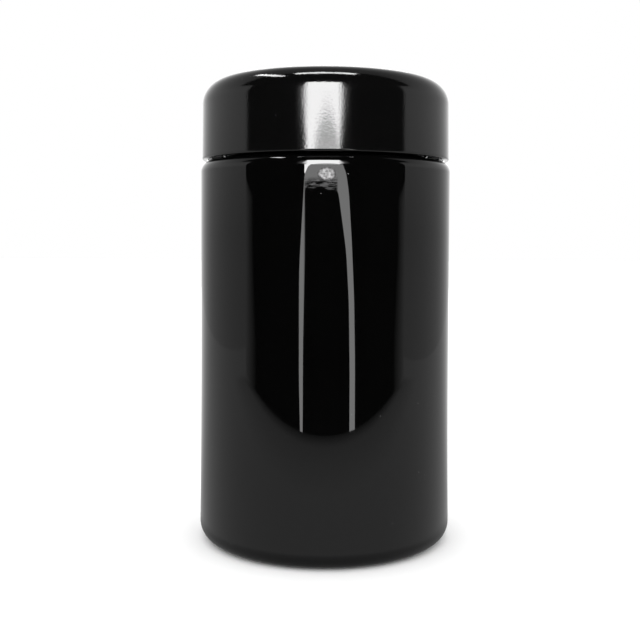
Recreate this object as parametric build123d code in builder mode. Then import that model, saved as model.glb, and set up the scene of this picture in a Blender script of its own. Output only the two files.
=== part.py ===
"""Screw-top candle jar: dark glass jar, two-part plastic lid and foam liner.

Row frame: +Z up, origin at the centre of the jar's foot, millimetres.
Each piece is modelled where it sits with the lid screwed fully down.
"""

import math
import os

from build123d import *

# ---- Driving dimensions -------------------------------------------------
JAR_D = 84.0  # outside diameter of the glass
TOTAL_H = 152.6  # foot to lid top, closed
LID_D = 83.0
LID_H = 26.4
SEAM_GAP = 0.4  # between the lid's lower edge and the shoulder
GLASS_WALL = 4.6
MOUTH_D = 60.0
NECK_D = 67.4  # neck outside diameter under the thread
NECK_H = 17.8  # shoulder to sealing rim
THREAD_LEAD = 5.0  # one start, right-hand
OVERSHOOT = 1.0  # how far a cutter runs past the face that it opens

# ---- Jar ----------------------------------------------------------------
JAR_R = JAR_D / 2
LID_Z = TOTAL_H - LID_H
SHOULDER_Z = LID_Z - SEAM_GAP
RIM_Z = SHOULDER_Z + NECK_H
HEEL_R = 5.6
SHOULDER_R = 3.5
WAIST = 0.2  # how far the wall sinks in at mid-height
FOOT_INNER_R = 30.0  # the push-up starts inside the foot ring
PUSH_UP = 2.6
FLOOR_Z = 8.6  # inside floor at the centre
FLOOR_EDGE_Z = 6.8
INNER_HEEL_R = 8.0
INNER_SHOULDER_R = 8.0
MOUTH_FOOT_R = 4.0
CAVITY_R = JAR_R - GLASS_WALL
MOUTH_R = MOUTH_D / 2
CAVITY_TOP_Z = SHOULDER_Z - GLASS_WALL  # where the inside starts to close in
MOUTH_FOOT_DROP = 1.1  # the mouth's bore starts this far under the shoulder
MOUTH_FOOT_Z = SHOULDER_Z - MOUTH_FOOT_DROP
NECK_R = NECK_D / 2
NECK_ROOT_R = 1.2
BEAD_LIFT = 2.6  # centre of the transfer bead above the shoulder
BEAD_Z = SHOULDER_Z + BEAD_LIFT
BEAD_R = 1.2
BEAD_PROUD = 1.1
RIM_ROUND = 1.0

# ---- Threads ------------------------------------------------------------
JAR_THREAD_DEPTH = 1.2
JAR_THREAD_HALF = (1.35, 0.55)  # half widths at root and crest
JAR_THREAD_TURNS = 1.5
THREAD_TOP_DROP = 2.4  # the jar's ridge ends this far under the rim
JAR_THREAD_Z = RIM_Z - THREAD_TOP_DROP - JAR_THREAD_TURNS * THREAD_LEAD
CAP_THREAD_DEPTH = 1.25
CAP_THREAD_HALF = (0.95, 0.35)
CAP_THREAD_TURNS = 1.25
THREAD_DROP = 1.62  # the cap's ridge hangs this far under the jar's
CAP_THREAD_LAG = 36.0  # degrees that the cap's ridge starts before the jar's
THREAD_ROOT_SINK = 0.5  # how far a ridge is rooted in its wall
CREST_RISE = 0.3  # rounding of a ridge's crest
FADE = 30.0  # degrees of run-out at each end
FADED_RISE = 0.4  # what is left of the crest's rounding where a ridge ends
FADED_WIDTH = 0.5  # what is left of its width there
STEP = 7.5  # degrees between loft sections

# ---- Lid ----------------------------------------------------------------
LID_R = LID_D / 2
LID_TOP_R = 8.0  # rounding of the top edge
LID_TOP_T = 2.0
LID_DRAFT = 0.1  # the wall leans in by this much up to the rounding
LID_EDGE_R = 0.4
SHELL_WALL = 2.3
BRIM_T = 1.4
BRIM_INSET = 1.4  # the inner cap's brim sits this far up inside the shell
BRIM_Z = LID_Z + BRIM_INSET
BRIM_GAP = 0.1
BRIM_CHAMFER = 0.3
NEST_WALL = 1.8  # the shell's wall where the brim sits
NEST_R = LID_R - NEST_WALL
BRIM_R = NEST_R - BRIM_GAP
SNAP_PROUD = 0.35  # the bead that holds the brim in its nest
SNAP_H = 0.85
SNAP_GAP = 0.05
SNAP_ROOT = 0.4
LINER_T = 1.6
LINER_GAP = 0.3
LINER_CHAMFER = 0.2
DECK_T = 1.6
DECK_Z = RIM_Z + LINER_T  # underside of the inner cap's deck
DECK_EDGE_R = 1.2
CAP_CLEARANCE = 1.6  # between the neck and the inner cap's bore
CAP_BORE_R = NECK_R + CAP_CLEARANCE
CAP_WALL = 1.6
CAP_LEAD_IN = 0.5
CAP_R = CAP_BORE_R + CAP_WALL
LINER_R = CAP_BORE_R - LINER_GAP
HEADSPACE_Z = TOTAL_H - LID_TOP_T
KEYS = 12  # torque keys between the shell and the inner cap
KEY_W = 2.0
KEY_GAP = 0.15  # between a key's side and the spline next to it
KEY_END_GAP = 0.25  # between a key's end and the inner cap's skirt
KEY_ROOT = 0.5
KEY_DROP = 1.0  # the keys stop this far under the deck
SPLINE_W = 1.2
SPLINE_H = 0.9
SPLINE_DROP = 1.5  # the splines stop this far under the deck
HUB_R = (8.0, 9.2)
RIBS = 8  # standoff ribs on the deck
RIB_W = 1.2
RIB_SPAN = (8.6, 33.0)  # from inside the hub's wall to near the deck's edge


def corner(sketch, r, z):
    """The sketch vertex nearest to radius r and height z."""
    return sketch.vertices().sort_by_distance((r, z, 0))[0]


def dome(r, top_z, edge_z):
    """A profile arc centred on the axis, from the middle at top_z out to radius r."""
    rise = top_z - edge_z
    ball_r = (r**2 + rise**2) / (2 * rise)
    half_way_z = top_z - ball_r + math.sqrt(ball_r**2 - (r / 2) ** 2)
    return ThreePointArc((0, top_z), (r / 2, half_way_z), (r, edge_z))


def thread_ridge(root_r, depth, halves, low_z, start, turns, outward):
    """A helical ridge that fades in and out, rooted in the wall at root_r."""
    side = 1 if outward else -1
    sweep_deg = 360.0 * turns
    count = round(sweep_deg / STEP)
    with BuildPart() as ridge:
        for i in range(count + 1):
            along = sweep_deg * i / count
            edge = min(along, sweep_deg - along) / FADE
            full = math.sin(math.pi / 2 * min(1.0, edge)) ** 2
            angle = math.radians(start + along)
            radial = (math.cos(angle), math.sin(angle), 0)
            tangent = (math.sin(angle), -math.cos(angle), 0)
            lift = low_z + THREAD_LEAD * along / 360.0
            section = Plane(origin=(0, 0, lift), x_dir=radial, z_dir=tangent)
            crest = root_r + side * (depth * full - THREAD_ROOT_SINK / 2 * (1 - full))
            shoulder = crest - side * CREST_RISE * (FADED_RISE + (1 - FADED_RISE) * full)
            root = root_r - side * THREAD_ROOT_SINK
            width = FADED_WIDTH + (1 - FADED_WIDTH) * full
            wide = halves[0] * width
            narrow = halves[1] * width
            with BuildSketch(section):
                with BuildLine():
                    Polyline((shoulder, -narrow), (root, -wide), (root, wide), (shoulder, narrow))
                    ThreePointArc((shoulder, narrow), (crest, 0), (shoulder, -narrow))
                make_face()
        loft()
    return ridge.part


def make_jar():
    """Glass jar: push-up base, rounded heel and shoulder, threaded neck."""
    thread = thread_ridge(
        NECK_R, JAR_THREAD_DEPTH, JAR_THREAD_HALF, JAR_THREAD_Z, 0, JAR_THREAD_TURNS, True
    )
    with BuildPart() as jar:
        with BuildSketch(Plane.XZ) as outside:
            with BuildLine():
                Line((0, PUSH_UP), (0, RIM_Z))
                Polyline((0, RIM_Z), (NECK_R, RIM_Z), (NECK_R, SHOULDER_Z), (JAR_R, SHOULDER_Z))
                ThreePointArc((JAR_R, SHOULDER_Z), (JAR_R - WAIST, SHOULDER_Z / 2), (JAR_R, 0))
                Line((JAR_R, 0), (FOOT_INNER_R, 0))
                dome(FOOT_INNER_R, PUSH_UP, 0)
            make_face()
            fillet(corner(outside, JAR_R, 0), HEEL_R)
            fillet(corner(outside, JAR_R, SHOULDER_Z), SHOULDER_R)
            fillet(corner(outside, NECK_R, SHOULDER_Z), NECK_ROOT_R)
            fillet(corner(outside, NECK_R, RIM_Z), RIM_ROUND)
        revolve()
        with BuildSketch(Plane.XZ):
            with Locations((NECK_R + BEAD_PROUD - BEAD_R, BEAD_Z)):
                Circle(BEAD_R)
        revolve()
        add(thread)
        with BuildSketch(Plane.XZ) as cavity:
            with BuildLine():
                dome(CAVITY_R, FLOOR_Z, FLOOR_EDGE_Z)
                Polyline(
                    (CAVITY_R, FLOOR_EDGE_Z),
                    (CAVITY_R, CAVITY_TOP_Z),
                    (MOUTH_R, MOUTH_FOOT_Z),
                    (MOUTH_R, RIM_Z + OVERSHOOT),
                    (0, RIM_Z + OVERSHOOT),
                    (0, FLOOR_Z),
                )
            make_face()
            fillet(corner(cavity, CAVITY_R, FLOOR_EDGE_Z), INNER_HEEL_R)
            fillet(corner(cavity, CAVITY_R, CAVITY_TOP_Z), INNER_SHOULDER_R)
            fillet(corner(cavity, MOUTH_R, MOUTH_FOOT_Z), MOUTH_FOOT_R)
        revolve(mode=Mode.SUBTRACT)
        rim = jar.faces().filter_by(Plane.XY).sort_by(Axis.Z)[-1]
        fillet(rim.edges().sort_by(SortBy.RADIUS)[0], RIM_ROUND)
    jar.part.label = "glass_jar"
    return jar


def make_shell():
    """Glossy outer shell: round-edged cup with a nest for the brim and torque keys."""
    nest_top = BRIM_Z + BRIM_T
    bore_r = LID_R - SHELL_WALL
    with BuildPart() as shell:
        with BuildSketch(Plane.XZ) as outside:
            with BuildLine():
                Polyline(
                    (0, LID_Z), (LID_R, LID_Z), (LID_R - LID_DRAFT, TOTAL_H), (0, TOTAL_H), close=True
                )
            make_face()
            fillet(corner(outside, LID_R - LID_DRAFT, TOTAL_H), LID_TOP_R)
            fillet(corner(outside, LID_R, LID_Z), LID_EDGE_R)
        revolve()
        with BuildSketch(Plane.XZ) as hollow:
            with BuildLine():
                Polyline(
                    (0, LID_Z - OVERSHOOT),
                    (NEST_R, LID_Z - OVERSHOOT),
                    (NEST_R, nest_top),
                    (bore_r, nest_top),
                    (bore_r - LID_DRAFT, HEADSPACE_Z),
                    (0, HEADSPACE_Z),
                    close=True,
                )
            make_face()
            fillet(corner(hollow, bore_r - LID_DRAFT, HEADSPACE_Z), LID_TOP_R - LID_TOP_T)
        revolve(mode=Mode.SUBTRACT)
        snap_z = BRIM_Z - SNAP_GAP
        with BuildSketch(Plane.XZ):
            with BuildLine():
                Polyline(
                    (NEST_R + SNAP_ROOT, snap_z),
                    (NEST_R - SNAP_PROUD, snap_z),
                    (NEST_R, snap_z - SNAP_H),
                    (NEST_R + SNAP_ROOT, snap_z - SNAP_H),
                    close=True,
                )
            make_face()
        revolve()
        key_in = CAP_R + KEY_END_GAP
        key_out = bore_r + KEY_ROOT
        with BuildSketch(Plane.XY.offset(nest_top)):
            with PolarLocations((key_in + key_out) / 2, KEYS):
                Rectangle(key_out - key_in, KEY_W)
        extrude(amount=DECK_Z - KEY_DROP - nest_top)
    shell.part.label = "lid_shell"
    return shell


def make_inner_cap():
    """Threaded inner cap: deck with standoff ribs, splined skirt and snap-in brim."""
    thread = thread_ridge(
        CAP_BORE_R,
        CAP_THREAD_DEPTH,
        CAP_THREAD_HALF,
        JAR_THREAD_Z - THREAD_DROP - THREAD_LEAD * CAP_THREAD_LAG / 360.0,
        -CAP_THREAD_LAG,
        CAP_THREAD_TURNS,
        False,
    )
    with BuildPart() as cap:
        with BuildSketch(Plane.XZ) as profile:
            with BuildLine():
                Polyline(
                    (0, DECK_Z),
                    (CAP_BORE_R, DECK_Z),
                    (CAP_BORE_R, BRIM_Z),
                    (BRIM_R, BRIM_Z),
                    (BRIM_R, BRIM_Z + BRIM_T),
                    (CAP_R, BRIM_Z + BRIM_T),
                    (CAP_R, DECK_Z + DECK_T),
                    (0, DECK_Z + DECK_T),
                    close=True,
                )
            make_face()
            fillet(corner(profile, CAP_R, DECK_Z + DECK_T), DECK_EDGE_R)
            chamfer(corner(profile, CAP_BORE_R, BRIM_Z), CAP_LEAD_IN)
            chamfer(corner(profile, BRIM_R, BRIM_Z), BRIM_CHAMFER)
        revolve()
        spline_foot = BRIM_Z + BRIM_T
        spline_gap = (KEY_W + SPLINE_W) / 2 + KEY_GAP
        with BuildSketch(Plane.XY.offset(spline_foot)):
            with PolarLocations(CAP_R, KEYS):
                with Locations((0, -spline_gap), (0, spline_gap)):
                    Rectangle(2 * SPLINE_H, SPLINE_W)
        extrude(amount=DECK_Z - SPLINE_DROP - spline_foot)
        with BuildSketch(Plane.XY.offset(DECK_Z + DECK_T)):
            Circle(HUB_R[1])
            Circle(HUB_R[0], mode=Mode.SUBTRACT)
            with PolarLocations((RIB_SPAN[0] + RIB_SPAN[1]) / 2, RIBS):
                Rectangle(RIB_SPAN[1] - RIB_SPAN[0], RIB_W)
        extrude(amount=HEADSPACE_Z - DECK_Z - DECK_T)
        add(thread)
    cap.part.label = "inner_cap"
    return cap


def make_liner():
    """Foamed sealing disc between the jar's rim and the inner cap's deck."""
    with BuildPart() as liner:
        with BuildSketch(Plane.XY.offset(RIM_Z)):
            Circle(LINER_R)
        extrude(amount=LINER_T)
        chamfer(liner.edges().sort_by(Axis.Z)[0], LINER_CHAMFER)
    liner.part.label = "liner"
    return liner


os.makedirs("parts", exist_ok=True)
for piece in (make_jar(), make_shell(), make_inner_cap(), make_liner()):
    solids = piece.part.solids()
    print(piece.part.label, "solids", len(solids), "volume", round(piece.part.volume))
    export_step(piece.part, f"parts/{piece.part.label}.step")
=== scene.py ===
import math

import bmesh
import bpy
import numpy as np
from mathutils import Euler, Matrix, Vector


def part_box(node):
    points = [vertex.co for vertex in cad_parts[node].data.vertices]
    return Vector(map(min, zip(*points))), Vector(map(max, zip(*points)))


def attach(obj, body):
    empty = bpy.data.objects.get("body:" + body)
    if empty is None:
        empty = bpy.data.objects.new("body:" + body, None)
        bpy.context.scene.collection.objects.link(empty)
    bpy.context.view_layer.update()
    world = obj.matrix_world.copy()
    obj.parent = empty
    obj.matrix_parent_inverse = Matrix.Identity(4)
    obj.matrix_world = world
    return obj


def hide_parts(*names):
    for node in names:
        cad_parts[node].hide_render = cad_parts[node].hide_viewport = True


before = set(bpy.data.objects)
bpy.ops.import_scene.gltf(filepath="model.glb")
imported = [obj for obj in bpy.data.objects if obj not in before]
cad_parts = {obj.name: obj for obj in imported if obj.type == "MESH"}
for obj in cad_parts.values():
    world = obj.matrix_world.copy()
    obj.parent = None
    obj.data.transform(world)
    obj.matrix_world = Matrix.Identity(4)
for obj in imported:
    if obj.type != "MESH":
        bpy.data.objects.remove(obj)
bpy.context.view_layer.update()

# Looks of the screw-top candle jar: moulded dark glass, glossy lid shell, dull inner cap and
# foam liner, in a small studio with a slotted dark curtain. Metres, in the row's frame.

MM = 0.001
TURN = 2 * math.pi

# ---- Places that the frame gives ------------------------------------------
_, jar_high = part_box("glass_jar")
shell_low, shell_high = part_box("lid_shell")
cap_low, cap_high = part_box("inner_cap")
liner_low, liner_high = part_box("liner")
RIM_Z = jar_high.z
LID_Z = shell_low.z
TOP_Z = shell_high.z
BRIM_Z = cap_low.z
DECK_Z = liner_high.z
HEADSPACE_Z = cap_high.z
LINER_R = liner_high.x

# ---- Jar -------------------------------------------------------------------
JAR_R = min(jar_high.x, jar_high.y)
GLASS_WALL = 4.6 * MM
SHOULDER_Z = LID_Z - 0.4 * MM
SHOULDER_R = 3.5 * MM
HEEL_R = 5.6 * MM
WAIST = 0.2 * MM
FOOT_INNER_R = 30.0 * MM
PUSH_UP = 2.6 * MM
NECK_R = 33.7 * MM
NECK_ROOT_R = 1.2 * MM
MOUTH_R = 30.0 * MM
RIM_ROUND = 1.0 * MM
BEAD_Z = SHOULDER_Z + 2.6 * MM
BEAD_R = 1.2 * MM
BEAD_SINK = 0.1 * MM
CAVITY_R = JAR_R - GLASS_WALL
CAVITY_TOP_Z = SHOULDER_Z - GLASS_WALL
MOUTH_FOOT_Z = SHOULDER_Z - 1.1 * MM
MOUTH_FOOT_R = 4.0 * MM
INNER_SHOULDER_R = 8.0 * MM
INNER_HEEL_R = 8.0 * MM
FLOOR_EDGE_Z = 6.8 * MM
FLOOR_Z = 8.6 * MM
FLOOR_RING_R = 0.9 * FOOT_INNER_R
FLOOR_RING_Z = FLOOR_EDGE_Z + 0.85 * MM
SEAM_ANGLE = math.radians(8)  # mould parting lines, half a turn apart
SEAM_PROUD = 0.035 * MM
SEAM_HALF = 0.35 * MM
RIPPLE = 0.022 * MM  # unevenness of the moulded glass
RIPPLE_FROM_EDGE = 0.6 * MM  # how far inside the wall's face it dies out
KNURLS = 80  # round the foot ring
KNURL_DEPTH = 0.22 * MM
KNURL_TWIST = 900  # radians of phase per metre of radius
KNURLS_BEGIN = (31.0 * MM, 31.8 * MM)
KNURLS_END = (35.0 * MM, 35.8 * MM)

# ---- Thread on the jar's neck ------------------------------------------------
LEAD = 5.0 * MM
THREAD_TURNS = 1.5
THREAD_DEPTH = 1.2 * MM
THREAD_ROOT_HALF = 1.35 * MM
THREAD_CREST_HALF = 0.55 * MM
THREAD_SINK = 0.5 * MM
CREST_RISE = 0.3 * MM
THREAD_TOP_DROP = 2.4 * MM
THREAD_Z = RIM_Z - THREAD_TOP_DROP - THREAD_TURNS * LEAD
FADE = math.radians(30)
FADED_WIDTH = 0.5  # what is left of the ridge's width at its ends

# ---- Lid shell ---------------------------------------------------------------
LID_R = min(shell_high.x, shell_high.y)
LID_DRAFT = 0.1 * MM
LID_TOP_R = 8.0 * MM
LID_EDGE_R = 0.6 * MM
SHELL_WALL = 2.3 * MM
NEST_R = LID_R - 1.8 * MM
NEST_TOP_Z = BRIM_Z + 1.4 * MM
NEST_EDGE_R = 0.25 * MM
SNAP_Z = BRIM_Z - 0.05 * MM
SNAP_PROUD = 0.35 * MM
SNAP_H = 0.85 * MM
KEYS = 12
KEY_HALF = 1.0 * MM
KEY_REACH = 2.05 * MM
KEY_TOP_Z = DECK_Z - 1.0 * MM
TOP_DISH = 0.06 * MM  # sink of the flat top

# ---- Liner -------------------------------------------------------------------
LINER_LOW_EDGE_R = 0.25 * MM
LINER_HIGH_EDGE_R = 0.12 * MM
PRESS_R = (NECK_R + MOUTH_R) / 2  # where the rim presses
PRESS_HALF = 1.6 * MM
PRESS_FALL = 0.7 * PRESS_HALF
PRESS_DEPTH = 0.07 * MM
MARK_R = 12.0 * MM  # shallow ring that the punch leaves
MARK_HALF = 0.5 * MM
MARK_DEPTH = 0.05 * MM

# ---- Mesh density --------------------------------------------------------------
COLUMNS = 320
ARC_STEP = 0.45 * MM
ARC_LEAST = 6
GUARD = 0.1 * MM  # rows beside an arc that keep the straight wall's shading straight
CRISP = 0.02 * MM  # half width of a step in a relief
HAIR = 0.001 * MM  # slack when a relief picks rows by height or radius
INSIDE = 0.1 * MM  # slack that tells the wall's two faces apart
PUSH_UP_ROWS = 12
SHARP_ANGLE = math.radians(38)

# ---- Finishes --------------------------------------------------------------------
# Greys are (darkest, palest), roughness is a ramp of a noise value, as under Studio, and the
# relief of a surface (waves, grain, cells) is its height. Noise is (features per metre, detail)
# and dust is (cells per metre, radius of a speck).
GLASS_GREY = (0.0007, 0.0016)
GLASS_GREY_NOISE = (40, 2)
GLASS_ROUGH = (0.35, 0.75, 0.012, 0.04)
GLASS_ROUGH_NOISE = (55, 5)
GLASS_WAVES = 1.2e-6
GLASS_WAVES_NOISE = (260, 1)
GLASS_DUST = (170, 0.13 * MM)
LID_GREY = (0.0015, 0.0028)
LID_GREY_NOISE = (30, 2)
LID_ROUGH = (0.3, 0.75, 0.065, 0.1)
LID_ROUGH_NOISE = (90, 5)
LID_GRAIN = 18e-6
LID_GRAIN_NOISE = (1800, 2)
LID_DUST = (190, 0.12 * MM)
CAP_GREY = (0.011, 0.018)
CAP_GREY_NOISE = (60, 2)
CAP_ROUGH = (0.3, 0.7, 0.5, 0.64)
CAP_ROUGH_NOISE = (200, 4)
CAP_SPECULAR = 0.12
CAP_GRAIN = 5e-6
CAP_GRAIN_NOISE = (3500, 2)
FOAM_DARK = (0.80, 0.80, 0.77, 1)
FOAM_LIGHT = (0.88, 0.88, 0.86, 1)
FOAM_NOISE = (140, 4)
FOAM_ROUGH = 0.62
FOAM_SUBSURFACE = 0.15
FOAM_DEPTH = 0.6 * MM  # how far light goes into it
FOAM_CELLS = 25e-6
FOAM_CELLS_PER_METRE = 2600
DUST_GREY = 0.16
DUST_ROUGH = 0.7
DUST_CORE = 0.6  # share of a speck's radius that is full dust
FLOOR_GREY = (0.89, 0.91)
FLOOR_GREY_NOISE = (5, 2)
FLOOR_ROUGH = 0.9
FLOOR_REACH = 4.0

# ---- Camera ----------------------------------------------------------------------
CAMERA_DISTANCE = 331.6 * MM
CAMERA_HEIGHT = 100.3 * MM
CAMERA_LENS_MM = 54.87
SENSOR_MM = 36.0
CAMERA_PITCH = math.radians(-1.25)
CAMERA_ROLL = math.radians(0.24)
CAMERA_SHIFT = (-0.0081, -0.0947)

# ---- Studio ----------------------------------------------------------------------
# A ramp is (from, to, value at from, value at to), and holds its end values outside.
WALLS = 0.42  # how bright reflections see the studio's walls
WALLS_BEHIND = (0.4, 1, 0, 1)  # they grow brighter towards the back, by the bearing's sine
WALLS_POWER = 3
WALLS_RISE = (0, 0.13, 1.05, 1.55)  # by the direction's height
WALLS_FALL = (0.3, 0.9, 1, 0.3)
WORLD_LIGHT = 1.58

PANEL_Y = -248.0 * MM  # dark curtain in front of the jar, with the slot's edging on it
PANEL_HALF_W = 0.43
PANEL_CURVE = 0.58  # metres back per square metre of distance from the middle
PANEL_H = 0.62
PANEL_STRIPS = 40
PANEL_SOFT = 105 * MM  # width over which its sides fade, near the table
PANEL_SOFTNESS = (30 * MM, 90 * MM, PANEL_SOFT, 75 * MM)
PANEL_SHARPENS = (125 * MM, 140 * MM, 1, 0.02)
CEILING_HALF_W = 0.82
CEILING_BACK_Y = -0.012

# The slot's edging as (x, z, corner radius, row spacing), in millimetres.
SLOT_OUTER = (
    (-87.5, 0, 0, 4),
    (-91.5, 25, 30, 4),
    (-92, 84, 50, 4),
    (-73.5, 131, 4, 2),
    (-62, 134.5, 10, 2),
    (-30, 138, 30, 4),
    (36, 138, 14, 4),
    (58, 136.5, 14, 4),
    (73, 131, 12, 4),
    (83, 121, 14, 4),
    (94, 96, 60, 4),
    (104, 66, 60, 4),
    (109, 35, 60, 4),
    (109.5, 0, 0, 4),
)
SLOT_INNER = (
    (-78, 0, 0, 4),
    (-76.5, 45, 60, 4),
    (-70.5, 92, 30, 4),
    (-72.5, 124, 2, 4),
    (44, 122, 10, 4),
    (73, 92, 40, 4),
    (84, 66, 60, 4),
    (88.5, 30, 60, 4),
    (88.5, 0, 0, 4),
)
SLOT_POINTS = 90
SLOT_EDGE = 3.8
SLOT_AHEAD = 2 * MM
ARCH_WHOLE = (126.5 * MM, 129.5 * MM, 0, 1)  # ripples break the arch under this
RIPPLES_FADE = (121 * MM, 127 * MM, 0.2, 1)
RIPPLES = (0.5, 0.62, 0, 1)
RIPPLES_STRETCH = (0.5, 1, 22)
RIPPLES_NOISE = (70, 1)
LEGS_X = -16 * MM
LEGS_LIT = (53 * MM, 60 * MM, 0, 1)  # by the distance from LEGS_X
LENS_X = 4 * MM
LENS_Z = 130.6 * MM
LENS_HALF_W = 32 * MM
LENS_HALF_H = 3.4 * MM
LENS_POINTS = 32
LENS_AHEAD = 3 * MM
LENS_EDGE = (0.4, 1, 1, 0.12)  # by the square of the share of its radius
LENS_MOTTLE = (0.36, 0.62, 4, 17)
LENS_STRETCH = (1, 1, 7.5)
LENS_NOISE = (110, 3)

FRONT_LIGHT = 22
LIGHT_TOP_Z = 312 * MM
LIGHT_X = -9 * MM
LIGHT_AHEAD = 1 * MM
LIGHT_STRIPS = (  # x from, x to and lower edge, in millimetres
    (-110, -74, 141),
    (-74, -50, 131.5),
    (-50, -10, 135),
    (-10, 25, 135),
    (25, 50, 135),
    (50, 100, 141),
)
LIGHT_HALF_W = (146 * MM, 168 * MM, 58 * MM, 66 * MM)
LIGHT_FOOT_W = (140 * MM, 142 * MM, 90 * MM, 0)  # at its foot only its strips bound it
LIGHT_SOFTENS = (150 * MM, 172 * MM, 5 * MM, 26 * MM)
LIGHT_HARDENS = (190 * MM, 290 * MM, 26 * MM, 6 * MM)
HALO_REACH = 34 * MM
HALO_POWER = 1.5
HALO_GROWS = (150 * MM, 175 * MM, 0.2, 2.4)
HALO_THINS = (200 * MM, 300 * MM, 1, 0.1)
HALO_BEGINS = (140 * MM, 143 * MM, 0, 1)
WEDGE_X = 5 * MM
WEDGE_TAPERS = (146 * MM, 169 * MM, 1, 0)
WEDGE_POWER = 0.5
WEDGE_HALF_W = (0, 1, -8 * MM, 46 * MM)
WEDGE_SOFT = 7 * MM
WEDGE_SHADE = (156 * MM, 168 * MM, 0.38, 0.75)
WEDGE_BEGINS = (142 * MM, 143 * MM, 1, 0)

TABLE_LEFT = -0.60
TABLE_RIGHT = 0.53
TABLE_BACK = 1.6
TABLE_LIFT = 0.2 * MM
# painted shadow of the curtain on the table card: darkest at the curtain's foot, brighter out of it
TABLE_PAINTED_CURTAIN_SHADOW = (0, 30 * MM, 0.12, 0.72)
TABLE_OUT_OF_SHADE = (30 * MM, 120 * MM, 1, 1.39)
# painted contact shadow of the jar on the table card: darker close to the jar
TABLE_PAINTED_JAR_SHADOW = (36 * MM, 56 * MM, 0.1, 0.5)
TABLE_FAR = (80 * MM, 300 * MM, 1 / WALLS, 2.5)

LAMPS_Z = 0.55
LAMPS = {
    "overhead_lamp": [(-0.122, -0.09), (0.122, -0.09), (0.122, -0.035), (-0.122, -0.035)],
    "overhead_lamp_side": [(-0.19, -0.11), (-0.228, -0.11), (-0.268, 0.13), (-0.23, 0.13)],
}
LAMPS_RADIANCE = 16
REAR_LAMP_Y = 0.62
REAR_LAMP_HALF_W = 90 * MM
REAR_LAMP_LOW_Z = 20 * MM
REAR_LAMP_HIGH_Z = 330 * MM
REAR_LAMP_RADIANCE = 4


# =============================== mesh tools =========================================
def rounded(points):
    """Outline through (r, z, corner radius, row spacing of the span that follows)."""
    corners = [np.array(p[:2]) for p in points]
    ends = []
    for i, (here, point) in enumerate(zip(corners, points)):
        if point[2] == 0:
            ends.append([here])
            continue
        back = corners[i - 1] - here
        ahead = corners[i + 1] - here
        back = back / np.linalg.norm(back)
        ahead = ahead / np.linalg.norm(ahead)
        half = math.acos(np.clip(back @ ahead, -1, 1)) / 2
        reach = point[2] / math.tan(half)
        bisector = (back + ahead) / np.linalg.norm(back + ahead)
        centre = here + bisector * point[2] / math.sin(half)
        start = here + back * reach - centre
        stop = here + ahead * reach - centre
        swing = math.atan2(start[0] * stop[1] - start[1] * stop[0], start @ stop)
        count = max(ARC_LEAST, math.ceil(abs(swing) * point[2] / ARC_STEP))
        arc = []
        for k in range(count + 1):
            a = swing * k / count
            turned = (
                start[0] * math.cos(a) - start[1] * math.sin(a),
                start[0] * math.sin(a) + start[1] * math.cos(a),
            )
            arc.append(centre + turned)
        ends.append(arc)
    line = []
    for i, arc in enumerate(ends):
        line += arc
        if i + 1 < len(ends):
            span = ends[i + 1][0] - arc[-1]
            run = np.linalg.norm(span)
            cuts = max(1, math.ceil(run / points[i][3]))
            guards = [GUARD / run, 1 - GUARD / run] if run > 4 * GUARD else []
            inner = [k / cuts for k in range(1, cuts) if GUARD < k / cuts * run < run - GUARD]
            line += [arc[-1] + span * share for share in sorted(inner + guards)]
    return np.array(line)


def dome(reach, middle_z, edge_z, count):
    """Rows of a shallow dome, from its middle out to its edge."""
    rise = middle_z - edge_z
    ball = (reach**2 + rise**2) / (2 * rise)
    rows = [reach * i / count for i in range(count)]
    return [(r, middle_z - ball + math.sqrt(ball**2 - r**2)) for r in rows]


def columns(*steps):
    """Even angles round the axis, with a close pair at each crisp step."""
    even = np.arange(COLUMNS) * TURN / COLUMNS
    crisp = [a + side for a in steps for side in (-CRISP / LID_R, CRISP / LID_R)]
    return np.unique(np.round(np.mod(np.concatenate([even, crisp]), TURN), 7))


def revolve(name, rows, angles, relief=None):
    """A closed mesh of revolution, with relief(r, z, angle) added as (dr, dz)."""
    r, z = (np.repeat(rows[:, i : i + 1], len(angles), axis=1) for i in (0, 1))
    a = np.repeat(angles[None, :], len(rows), axis=0)
    pole = rows[:, 0] < 1e-9
    if relief is not None:
        dr, dz = relief(r, z, a)
        r = r + np.where(pole[:, None], 0, dr)
        z = z + dz
    mesh = bpy.data.meshes.new(name)
    bm = bmesh.new()
    grid = []
    for i in range(len(rows)):
        if pole[i]:
            grid.append([bm.verts.new((0, 0, z[i].mean()))] * len(angles))
            continue
        x, y = r[i] * np.cos(a[i]), r[i] * np.sin(a[i])
        grid.append([bm.verts.new(p) for p in zip(x, y, z[i])])
    for low, high in zip(grid, grid[1:]):
        for j in range(len(angles)):
            k = (j + 1) % len(angles)
            corners = list(dict.fromkeys((low[j], low[k], high[k], high[j])))
            bm.faces.new(corners)
    bmesh.ops.recalc_face_normals(bm, faces=bm.faces)
    bm.to_mesh(mesh)
    bm.free()
    mesh.shade_smooth()
    mesh.set_sharp_from_angle(angle=SHARP_ANGLE)
    piece = bpy.data.objects.new(name, mesh)
    bpy.context.scene.collection.objects.link(piece)
    return piece


def smooth_step(value, low, high):
    t = np.clip((value - low) / (high - low), 0, 1)
    return t * t * (3 - 2 * t)


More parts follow.
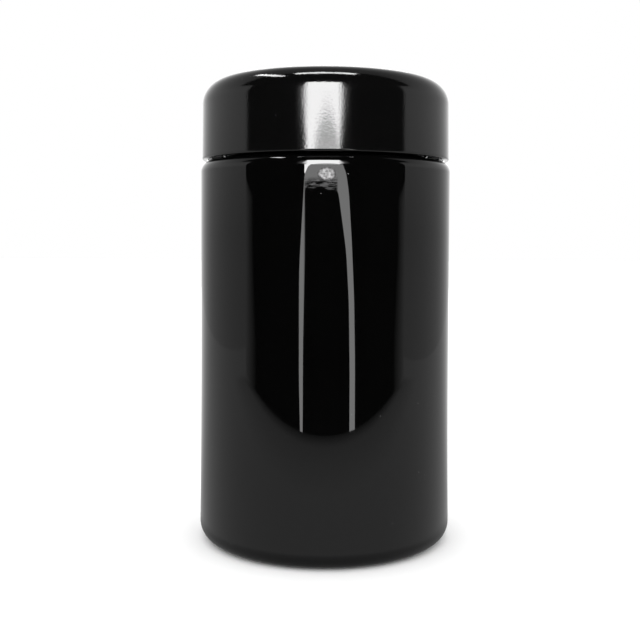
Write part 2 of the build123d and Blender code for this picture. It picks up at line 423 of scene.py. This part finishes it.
# =============================== the pieces ==========================================
def thread_height(z, angle):
    """How far the jar's ridge stands out at a height and angle on the neck."""
    height = np.zeros_like(z)
    sweep = THREAD_TURNS * TURN
    flank = THREAD_DEPTH - CREST_RISE + THREAD_SINK
    for lap in range(math.ceil(THREAD_TURNS)):
        along = angle + lap * TURN
        off = np.abs(z - THREAD_Z - LEAD * along / TURN)
        full = np.sin(np.clip(np.minimum(along, sweep - along) / FADE, 0, 1) * math.pi / 2) ** 2
        width = FADED_WIDTH + (1 - FADED_WIDTH) * full
        root, crest = THREAD_ROOT_HALF * width, THREAD_CREST_HALF * width
        side = flank * full * np.clip((root - off) / (root - crest), 0, 1)
        crown = CREST_RISE * full * np.clip(1 - (off / crest) ** 2, 0, 1)
        ridge = side + crown - THREAD_SINK * full
        height = np.maximum(height, np.where(along <= sweep, ridge, 0))
    return height


def jar_relief(r, z, angle):
    """Waist, ripples, parting lines, thread and bead as radial relief; the foot's knurls as rise."""
    outside = r > NECK_R - 0.5 * RIM_ROUND
    wall = outside & (r > CAVITY_R + INSIDE) & (z < SHOULDER_Z)
    middle = SHOULDER_Z / 2
    share = smooth_step(r, CAVITY_R, JAR_R - RIPPLE_FROM_EDGE)
    waist = -WAIST * (1 - ((z - middle) / middle) ** 2)
    # Three slow waves whose heights add up to 2.1, sunk so that none stands proud of the wall.
    ripple = np.sin(3 * angle + 41 * z + 0.7) * np.sin(58 * z + 2.1)
    ripple = ripple + 0.6 * np.sin(7 * angle - 67 * z + 1.9) + 0.5 * np.sin(96 * z + 2 * angle)
    ripple = RIPPLE * (ripple / 2.1 - 1)
    turn = np.abs(np.mod(angle - SEAM_ANGLE + math.pi / 2, math.pi) - math.pi / 2) * JAR_R
    seam = SEAM_PROUD * np.clip(1 - (turn / SEAM_HALF) ** 2, 0, 1)
    dr = np.where(wall, (waist + ripple + seam) * share, 0)
    neck = outside & (r < CAVITY_R) & (z > SHOULDER_Z + NECK_ROOT_R) & (z < RIM_Z - RIM_ROUND)
    bead = np.sqrt(np.clip(BEAD_R**2 - (z - BEAD_Z) ** 2, 0, None)) - BEAD_SINK
    dr = np.where(neck, np.maximum(thread_height(z, angle), np.maximum(bead, 0)), dr)
    ring = (z < HAIR) & (r > FOOT_INNER_R)
    knurl = np.clip(np.sin(KNURLS * angle + KNURL_TWIST * r), 0, 1)
    band = smooth_step(r, *KNURLS_BEGIN) * (1 - smooth_step(r, *KNURLS_END))
    return dr, np.where(ring, KNURL_DEPTH * knurl * band, 0)


def make_jar():
    """One piece of moulded glass: push-up base, heel, wall, shoulder, neck, rim and cavity."""
    under = dome(FOOT_INNER_R, PUSH_UP, 0, PUSH_UP_ROWS)
    outer = rounded([
        (FOOT_INNER_R, 0, 0, 0.8 * MM),
        (JAR_R, 0, HEEL_R, 2.8 * MM),
        (JAR_R, SHOULDER_Z, SHOULDER_R, 0.9 * MM),
        (NECK_R, SHOULDER_Z, NECK_ROOT_R, 0.22 * MM),
        (NECK_R, RIM_Z, RIM_ROUND, 0.8 * MM),
        (MOUTH_R, RIM_Z, RIM_ROUND, 2.0 * MM),
        (MOUTH_R, MOUTH_FOOT_Z, MOUTH_FOOT_R, 2.0 * MM),
        (CAVITY_R, CAVITY_TOP_Z, INNER_SHOULDER_R, 6.0 * MM),
        (CAVITY_R, FLOOR_EDGE_Z, INNER_HEEL_R, 2.5 * MM),
        (FLOOR_RING_R, FLOOR_RING_Z, 0, 2.5 * MM),
        (0, FLOOR_Z, 0, 1),
    ])
    return revolve("jar_glass", np.vstack([under, outer]), columns(), jar_relief)


def shell_relief(r, z, angle):
    """Torque keys on the bore, and the slight sink of the flat top."""
    pitch = TURN / KEYS
    turn = np.abs(np.mod(angle + pitch / 2, pitch) - pitch / 2) * (LID_R - SHELL_WALL)
    bore = (r < LID_R - SHELL_WALL + HAIR) & (r > LID_R - SHELL_WALL - LID_DRAFT)
    key = bore & (z > NEST_TOP_Z - CRISP) & (z < KEY_TOP_Z) & (turn < KEY_HALF)
    top = z > TOP_Z - HAIR
    dish = TOP_DISH * np.clip(1 - (r / (LID_R - LID_TOP_R)) ** 2, 0, 1) ** 2
    return np.where(key, -KEY_REACH, 0), np.where(top, -dish, 0)


def make_shell():
    """Glossy outer shell of the lid, with a nest, snap bead and keys for the inner cap."""
    bore = LID_R - SHELL_WALL
    rows = rounded([
        (0, TOP_Z, 0, 2.0 * MM),
        (LID_R - LID_DRAFT, TOP_Z, LID_TOP_R, 1.0 * MM),
        (LID_R, LID_Z, LID_EDGE_R, 0.4 * MM),
        (NEST_R, LID_Z, NEST_EDGE_R, 0.4 * MM),
        (NEST_R, SNAP_Z - SNAP_H, 0, 0.4 * MM),
        (NEST_R - SNAP_PROUD, SNAP_Z, 0, 0.4 * MM),
        (NEST_R, SNAP_Z, 0, 0.7 * MM),
        (NEST_R, NEST_TOP_Z, 0, 0.5 * MM),
        (bore, NEST_TOP_Z, 0, 2.0 * MM),
        (bore, KEY_TOP_Z - CRISP, 0, 1.0 * MM),
        (bore, KEY_TOP_Z + CRISP, 0, 2.0 * MM),
        (bore - LID_DRAFT, HEADSPACE_Z, LID_TOP_R - (TOP_Z - HEADSPACE_Z), 3.0 * MM),
        (0, HEADSPACE_Z, 0, 1),
    ])
    edges = [k * TURN / KEYS + s * KEY_HALF / bore for k in range(KEYS) for s in (-1, 1)]
    return revolve("lid_outer_shell", rows, columns(*edges), shell_relief)


def liner_relief(r, z, angle):
    """The groove that the rim has pressed into the liner, and the mark of the punch."""
    under = z < liner_low.z + HAIR
    groove = PRESS_DEPTH * np.exp(-(((r - PRESS_R) / PRESS_FALL) ** 4))
    mark = MARK_DEPTH * np.exp(-(((r - MARK_R) / MARK_HALF) ** 2))
    return np.zeros_like(r), np.where(under, groove + mark, 0)


def make_liner():
    """Foam sealing disc with soft edges."""
    rows = rounded([
        (0, liner_low.z, 0, 1.5 * MM),
        (PRESS_R - 2 * PRESS_HALF, liner_low.z, 0, 0.3 * MM),
        (LINER_R, liner_low.z, LINER_LOW_EDGE_R, 0.4 * MM),
        (LINER_R, liner_high.z, LINER_HIGH_EDGE_R, 1.5 * MM),
        (0, liner_high.z, 0, 1),
    ])
    return revolve("sealing_disc", rows, columns(), liner_relief)


# =============================== materials ==============================================
def node(tree, kind, inputs=None, **settings):
    made = tree.nodes.new(kind)
    for key, value in settings.items():
        setattr(made, key, value)
    for key, value in (inputs or {}).items():
        if isinstance(value, bpy.types.NodeSocket):
            tree.links.new(value, made.inputs[key])
        else:
            made.inputs[key].default_value = value
    return made


def new_material(name, **values):
    made = bpy.data.materials.new(name)
    made.use_nodes = True
    shader = made.node_tree.nodes["Principled BSDF"]
    for key, value in values.items():
        shader.inputs[key.replace("_", " ")].default_value = value
    place = node(made.node_tree, "ShaderNodeTexCoord").outputs["Object"]
    return made, made.node_tree, shader, place


def spread(tree, value, low, high, out_low, out_high):
    """Maps a value's span to another span, held at both ends."""
    inputs = {0: value, 1: low, 2: high, 3: out_low, 4: out_high}
    return node(tree, "ShaderNodeMapRange", inputs).outputs[0]


def noise(tree, place, scale, detail):
    return node(
        tree, "ShaderNodeTexNoise", {"Vector": place, "Scale": scale, "Detail": detail}
    ).outputs[0]


def grey(value):
    return (value, value, value, 1)


def dust(tree, place, shader, base, rough, per_metre, size):
    """Sparse pale specks: a paler, rougher dot wherever a random point lies on the surface."""
    cells = node(tree, "ShaderNodeTexVoronoi", {"Vector": place, "Scale": per_metre})
    edge = size * per_metre
    speck = spread(tree, cells.outputs["Distance"], edge, DUST_CORE * edge, 0, 1)
    colour = node(tree, "ShaderNodeMix", {"Factor": speck}, data_type="RGBA")
    tree.links.new(base, colour.inputs["A"])
    colour.inputs["B"].default_value = grey(DUST_GREY)
    tree.links.new(colour.outputs["Result"], shader.inputs["Base Color"])
    dull = node(tree, "ShaderNodeMix", {"Factor": speck})
    tree.links.new(rough, dull.inputs["A"])
    dull.inputs["B"].default_value = DUST_ROUGH
    tree.links.new(dull.outputs["Result"], shader.inputs["Roughness"])


def tinted(tree, factor, low, high):
    """A neutral colour between two greys."""
    mix = node(tree, "ShaderNodeMix", {"Factor": factor}, data_type="RGBA")
    mix.inputs["A"].default_value = grey(low)
    mix.inputs["B"].default_value = grey(high)
    return mix.outputs["Result"]


def bump(tree, shader, height, distance):
    inputs = {"Height": height, "Distance": distance, "Strength": 1.0}
    made = node(tree, "ShaderNodeBump", inputs)
    tree.links.new(made.outputs[0], shader.inputs["Normal"])


def black_glass():
    made, tree, shader, place = new_material("black_glass", IOR=1.5)
    base = tinted(tree, noise(tree, place, *GLASS_GREY_NOISE), *GLASS_GREY)
    rough = spread(tree, noise(tree, place, *GLASS_ROUGH_NOISE), *GLASS_ROUGH)
    dust(tree, place, shader, base, rough, *GLASS_DUST)
    bump(tree, shader, noise(tree, place, *GLASS_WAVES_NOISE), GLASS_WAVES)
    return made


def gloss_plastic():
    made, tree, shader, place = new_material("gloss_black_plastic", IOR=1.5)
    base = tinted(tree, noise(tree, place, *LID_GREY_NOISE), *LID_GREY)
    rough = spread(tree, noise(tree, place, *LID_ROUGH_NOISE), *LID_ROUGH)
    dust(tree, place, shader, base, rough, *LID_DUST)
    bump(tree, shader, noise(tree, place, *LID_GRAIN_NOISE), LID_GRAIN)
    return made


def satin_plastic():
    made, tree, shader, place = new_material("satin_black_plastic", IOR=1.49)
    base = tinted(tree, noise(tree, place, *CAP_GREY_NOISE), *CAP_GREY)
    rough = spread(tree, noise(tree, place, *CAP_ROUGH_NOISE), *CAP_ROUGH)
    shader.inputs["Specular IOR Level"].default_value = CAP_SPECULAR
    tree.links.new(base, shader.inputs["Base Color"])
    tree.links.new(rough, shader.inputs["Roughness"])
    bump(tree, shader, noise(tree, place, *CAP_GRAIN_NOISE), CAP_GRAIN)
    return made


def white_foam():
    made, tree, shader, place = new_material("white_foam", IOR=1.45)
    cells = node(
        tree, "ShaderNodeTexVoronoi", {"Vector": place, "Scale": FOAM_CELLS_PER_METRE}
    )
    clouds = noise(tree, place, *FOAM_NOISE)
    mix = node(tree, "ShaderNodeMix", {"Factor": clouds}, data_type="RGBA")
    mix.inputs["A"].default_value = FOAM_DARK
    mix.inputs["B"].default_value = FOAM_LIGHT
    tree.links.new(mix.outputs["Result"], shader.inputs["Base Color"])
    shader.inputs["Roughness"].default_value = FOAM_ROUGH
    shader.inputs["Subsurface Weight"].default_value = FOAM_SUBSURFACE
    shader.inputs["Subsurface Scale"].default_value = FOAM_DEPTH
    bump(tree, shader, cells.outputs["Distance"], FOAM_CELLS)
    return made


# =============================== studio ===================================================
def stage_object(name, faces, material):
    mesh = bpy.data.meshes.new(name)
    bm = bmesh.new()
    for corners in faces:
        bm.faces.new([bm.verts.new(c) for c in corners])
    bm.to_mesh(mesh)
    bm.free()
    mesh.materials.append(material)
    made = bpy.data.objects.new(name, mesh)
    bpy.context.scene.collection.objects.link(made)
    return made


def make_floor():
    made, tree, shader, place = new_material("pale_floor", Roughness=FLOOR_ROUGH)
    base = tinted(tree, noise(tree, place, *FLOOR_GREY_NOISE), *FLOOR_GREY)
    tree.links.new(base, shader.inputs["Base Color"])
    signs = ((-1, -1), (1, -1), (1, 1), (-1, 1))
    corners = [(a * FLOOR_REACH, b * FLOOR_REACH, 0) for a, b in signs]
    floor = stage_object("pale_floor", [corners], made)
    floor.visible_glossy = False


def glow(name, radiance):
    """A lamp surface or, at no radiance, a black one."""
    made = bpy.data.materials.new(name)
    made.use_nodes = True
    tree = made.node_tree
    tree.nodes.remove(tree.nodes["Principled BSDF"])
    light = node(tree, "ShaderNodeEmission", {"Color": grey(1), "Strength": radiance})
    tree.links.new(light.outputs[0], tree.nodes["Material Output"].inputs["Surface"])
    return made, tree, light


def card(name, faces, radiance):
    """A surface that only reflections see, as a studio hides its flags and lamps."""
    made, tree, light = glow(name, radiance)
    shown = stage_object(name, faces, made)
    shown.visible_camera = False
    shown.visible_diffuse = False
    shown.visible_transmission = False
    shown.visible_shadow = False
    return tree, light


def calc(tree, operation, a, b=0.0):
    return node(tree, "ShaderNodeMath", {0: a, 1: b}, operation=operation).outputs[0]


def place_of(tree):
    """X, Y and Z of a point on a stage object, which all sit at the origin."""
    place = node(tree, "ShaderNodeTexCoord").outputs["Object"]
    split = node(tree, "ShaderNodeSeparateXYZ", {0: place})
    return split.outputs[0], split.outputs[1], split.outputs[2]


def stretched(tree, scale):
    place = node(tree, "ShaderNodeTexCoord").outputs["Object"]
    made = node(tree, "ShaderNodeVectorMath", {0: place, 1: scale}, operation="MULTIPLY")
    return made.outputs["Vector"]


def curtain_y(x, ahead=0.0):
    """The curtain bends round the jar; ahead is how far in front of it a card hangs."""
    return PANEL_Y + PANEL_CURVE * x**2 + ahead


def hung(line, ahead):
    """Points of the curtain at (x, z) places."""
    return [(x, curtain_y(x, ahead), z) for x, z in line]


def metres(rows):
    """Turns rows of millimetres into rows of metres."""
    return [tuple(value * MM for value in row) for row in rows]


def even_points(line, count):
    """The same line through evenly spaced points."""
    run = np.r_[0, np.cumsum(np.linalg.norm(np.diff(line, axis=0), axis=1))]
    at = np.linspace(0, run[-1], count)
    return np.stack([np.interp(at, run, line[:, i]) for i in (0, 1)], axis=1)


def make_curtain():
    """Dark all over, going over into the walls' grey at the sides below the lid's height."""
    xs = np.linspace(-PANEL_HALF_W, PANEL_HALF_W, PANEL_STRIPS + 1)
    faces = [
        hung([(a, 0), (b, 0), (b, PANEL_H), (a, PANEL_H)], 0) for a, b in zip(xs, xs[1:])
    ]
    tree, light = card("curtain", faces, 0)
    x, _, z = place_of(tree)
    soft = calc(tree, "MULTIPLY", spread(tree, z, *PANEL_SOFTNESS), spread(tree, z, *PANEL_SHARPENS))
    start = calc(tree, "SUBTRACT", PANEL_HALF_W, soft)
    off = calc(tree, "SUBTRACT", calc(tree, "ABSOLUTE", x), start)
    share = calc(tree, "DIVIDE", off, calc(tree, "SUBTRACT", PANEL_HALF_W, start))
    strength = spread(tree, share, 0, 1, 0, WALLS)
    tree.links.new(strength, light.inputs["Strength"])


def make_slot():
    """Pale edging of the curtain's slot: two legs and a flat arch, broken by ripples beneath."""
    inner, outer = (
        hung(even_points(rounded(metres(line)), SLOT_POINTS), SLOT_AHEAD)
        for line in (SLOT_INNER, SLOT_OUTER)
    )
    faces = [quad for quad in zip(inner, inner[1:], outer[1:], outer)]
    tree, light = card("slot_edge", faces, SLOT_EDGE)
    x, _, z = place_of(tree)
    rows = noise(tree, stretched(tree, RIPPLES_STRETCH), *RIPPLES_NOISE)
    ripples = spread(tree, rows, *RIPPLES)
    ripples = calc(tree, "MULTIPLY", ripples, spread(tree, z, *RIPPLES_FADE))
    arch = calc(tree, "MAXIMUM", ripples, spread(tree, z, *ARCH_WHOLE))
    leg = calc(tree, "ABSOLUTE", calc(tree, "SUBTRACT", x, LEGS_X))
    lit = calc(tree, "MAXIMUM", arch, spread(tree, leg, *LEGS_LIT))
    tree.links.new(calc(tree, "MULTIPLY", lit, SLOT_EDGE), light.inputs["Strength"])


def make_lens():
    """A small mottled lens in the slot's arch, dim towards its edge."""
    turns = [TURN * k / LENS_POINTS for k in range(LENS_POINTS)]
    line = [
        (LENS_X + LENS_HALF_W * math.cos(a), LENS_Z + LENS_HALF_H * math.sin(a)) for a in turns
    ]
    tree, light = card("slot_lens", [hung(line, LENS_AHEAD)], 1)
    x, _, z = place_of(tree)
    across = calc(tree, "DIVIDE", calc(tree, "SUBTRACT", x, LENS_X), LENS_HALF_W)
    along = calc(tree, "DIVIDE", calc(tree, "SUBTRACT", z, LENS_Z), LENS_HALF_H)
    across = calc(tree, "MULTIPLY", across, across)
    along = calc(tree, "MULTIPLY", along, along)
    soft = spread(tree, calc(tree, "ADD", across, along), *LENS_EDGE)
    clouds = noise(tree, stretched(tree, LENS_STRETCH), *LENS_NOISE)
    mottle = spread(tree, clouds, *LENS_MOTTLE)
    tree.links.new(calc(tree, "MULTIPLY", mottle, soft), light.inputs["Strength"])


def make_front_light():
    """A soft box above the slot with a faint halo, shaded from below by a wedge."""
    faces = []
    for x0, x1, low in metres(LIGHT_STRIPS):
        corners = [(x0, low), (x1, low), (x1, LIGHT_TOP_Z), (x0, LIGHT_TOP_Z)]
        faces.append(hung(corners, LIGHT_AHEAD))
    tree, light = card("front_light", faces, FRONT_LIGHT)
    x, _, z = place_of(tree)
    side = calc(tree, "ABSOLUTE", calc(tree, "SUBTRACT", x, LIGHT_X))
    half = calc(tree, "MAXIMUM", spread(tree, z, *LIGHT_HALF_W), spread(tree, z, *LIGHT_FOOT_W))
    past = calc(tree, "SUBTRACT", side, half)
    fade = spread(tree, z, *LIGHT_SOFTENS)
    fade = calc(tree, "MINIMUM", fade, spread(tree, z, *LIGHT_HARDENS))
    body = spread(tree, calc(tree, "DIVIDE", past, fade), -0.5, 0.5, FRONT_LIGHT, 0)
    halo = calc(tree, "POWER", spread(tree, past, 0, HALO_REACH, 1, 0), HALO_POWER)
    for ramp in (HALO_GROWS, HALO_THINS, HALO_BEGINS):
        halo = calc(tree, "MULTIPLY", halo, spread(tree, z, *ramp))
    body = calc(tree, "MAXIMUM", body, halo)
    taper = calc(tree, "POWER", spread(tree, z, *WEDGE_TAPERS), WEDGE_POWER)
    apart = calc(tree, "ABSOLUTE", calc(tree, "SUBTRACT", x, WEDGE_X))
    outside = calc(tree, "SUBTRACT", apart, spread(tree, taper, *WEDGE_HALF_W))
    shade = spread(tree, z, *WEDGE_SHADE)
    wedge = spread(tree, outside, -WEDGE_SOFT, WEDGE_SOFT, shade, 1)
    wedge = calc(tree, "MAXIMUM", wedge, spread(tree, z, *WEDGE_BEGINS))
    tree.links.new(calc(tree, "MULTIPLY", body, wedge), light.inputs["Strength"])


def make_table_glow():
    """The table as reflections see it: a glowing card with the lit table's brightness and the
    shadows of the jar and the curtain painted into it.
    """
    corners = [
        (TABLE_LEFT, PANEL_Y, TABLE_LIFT),
        (TABLE_RIGHT, PANEL_Y, TABLE_LIFT),
        (TABLE_RIGHT, TABLE_BACK, TABLE_LIFT),
        (TABLE_LEFT, TABLE_BACK, TABLE_LIFT),
    ]
    tree, light = card("table_glow", [corners], 1)
    x, y, _ = place_of(tree)
    place = node(tree, "ShaderNodeTexCoord").outputs["Object"]
    away = node(tree, "ShaderNodeVectorMath", {0: place}, operation="LENGTH").outputs["Value"]
    bend = calc(tree, "MULTIPLY", calc(tree, "MULTIPLY", x, x), PANEL_CURVE)
    ahead = calc(tree, "SUBTRACT", calc(tree, "SUBTRACT", y, PANEL_Y), bend)
    # painted shadow of the curtain on the table card, fading out beside the curtain's sides
    shade = spread(tree, ahead, *TABLE_PAINTED_CURTAIN_SHADOW)
    shade = calc(tree, "MULTIPLY", shade, spread(tree, ahead, *TABLE_OUT_OF_SHADE))
    off = calc(tree, "ABSOLUTE", x)
    beside = spread(tree, off, PANEL_HALF_W - PANEL_SOFT, PANEL_HALF_W, 0, 1)
    shade = calc(tree, "MAXIMUM", shade, beside)
    # painted contact shadow of the jar: the card darkens close to it
    near = spread(tree, away, *TABLE_PAINTED_JAR_SHADOW)
    behind = walls_level(tree, calc(tree, "DIVIDE", y, away))
    far = calc(tree, "MULTIPLY", spread(tree, away, *TABLE_FAR), behind)
    strength = calc(tree, "MULTIPLY", calc(tree, "MULTIPLY", near, far), shade)
    tree.links.new(strength, light.inputs["Strength"])


def make_cards():
    make_curtain()
    ceiling = [
        (-CEILING_HALF_W, PANEL_Y, PANEL_H),
        (CEILING_HALF_W, PANEL_Y, PANEL_H),
        (CEILING_HALF_W, CEILING_BACK_Y, PANEL_H),
        (-CEILING_HALF_W, CEILING_BACK_Y, PANEL_H),
    ]
    card("ceiling", [ceiling], 0)
    make_front_light()
    make_slot()
    make_lens()
    make_table_glow()
    for name, corners in LAMPS.items():
        card(name, [[(x, y, LAMPS_Z) for x, y in corners]], LAMPS_RADIANCE)
    rear = [
        (-REAR_LAMP_HALF_W, REAR_LAMP_Y, REAR_LAMP_LOW_Z),
        (REAR_LAMP_HALF_W, REAR_LAMP_Y, REAR_LAMP_LOW_Z),
        (REAR_LAMP_HALF_W, REAR_LAMP_Y, REAR_LAMP_HIGH_Z),
        (-REAR_LAMP_HALF_W, REAR_LAMP_Y, REAR_LAMP_HIGH_Z),
    ]
    card("rear_lamp", [rear], REAR_LAMP_RADIANCE)


def walls_level(tree, facing):
    """How bright reflections see the studio in a direction; facing is the sine of its bearing."""
    back = calc(tree, "POWER", spread(tree, facing, *WALLS_BEHIND), WALLS_POWER)
    return spread(tree, back, 0, 1, WALLS, 1)


def make_world():
    """White all round; reflections see a dimmer studio that darkens towards the ceiling."""
    world = bpy.data.worlds.new("studio")
    bpy.context.scene.world = world
    world.use_nodes = True
    tree = world.node_tree
    tree.nodes.clear()
    place = node(tree, "ShaderNodeTexCoord").outputs["Generated"]
    split = node(tree, "ShaderNodeSeparateXYZ", {0: place})
    level = walls_level(tree, split.outputs["Y"])
    up = split.outputs["Z"]
    rise = calc(tree, "MULTIPLY", spread(tree, up, *WALLS_RISE), spread(tree, up, *WALLS_FALL))
    walls = calc(tree, "MULTIPLY", level, rise)
    rays = node(tree, "ShaderNodeLightPath")
    white = node(tree, "ShaderNodeBackground", {"Strength": WORLD_LIGHT})
    seen = node(tree, "ShaderNodeBackground", {"Strength": 1.0})
    mirrored = node(tree, "ShaderNodeBackground", {"Strength": walls})
    for each in (white, seen, mirrored):
        each.inputs["Color"].default_value = grey(1)
    first = node(tree, "ShaderNodeMixShader", {0: rays.outputs["Is Glossy Ray"]})
    tree.links.new(white.outputs[0], first.inputs[1])
    tree.links.new(mirrored.outputs[0], first.inputs[2])
    last = node(tree, "ShaderNodeMixShader", {0: rays.outputs["Is Camera Ray"]})
    tree.links.new(first.outputs[0], last.inputs[1])
    tree.links.new(seen.outputs[0], last.inputs[2])
    out = node(tree, "ShaderNodeOutputWorld")
    tree.links.new(last.outputs[0], out.inputs["Surface"])


def make_camera():
    data = bpy.data.cameras.new("camera")
    data.lens = CAMERA_LENS_MM
    data.sensor_width = SENSOR_MM
    data.shift_x, data.shift_y = CAMERA_SHIFT
    camera = bpy.data.objects.new("camera", data)
    camera.location = (0, -CAMERA_DISTANCE, CAMERA_HEIGHT)
    level = Euler((math.pi / 2 + CAMERA_PITCH, 0, 0)).to_matrix()
    camera.rotation_euler = (level @ Euler((0, 0, CAMERA_ROLL)).to_matrix()).to_euler()
    bpy.context.scene.collection.objects.link(camera)
    bpy.context.scene.camera = camera
    bpy.context.scene.view_settings.view_transform = "Standard"


# =============================== assembly ===================================================
make_camera()
make_world()
make_floor()
make_cards()

finishes = {
    "black_glass": black_glass(),
    "gloss_black_plastic": gloss_plastic(),
    "satin_black_plastic": satin_plastic(),
    "white_foam": white_foam(),
}
for piece, body, stands_for, slot in (
    (make_jar(), "jar", "glass_jar", "black_glass"),
    (make_shell(), "lid", "lid_shell", "gloss_black_plastic"),
    (make_liner(), "liner", "liner", "white_foam"),
):
    piece.data.materials.append(finishes[slot])
    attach(piece, body)
    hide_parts(stands_for)

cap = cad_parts["inner_cap"]
for slot in cap.material_slots:
    slot.material = finishes["satin_black_plastic"]
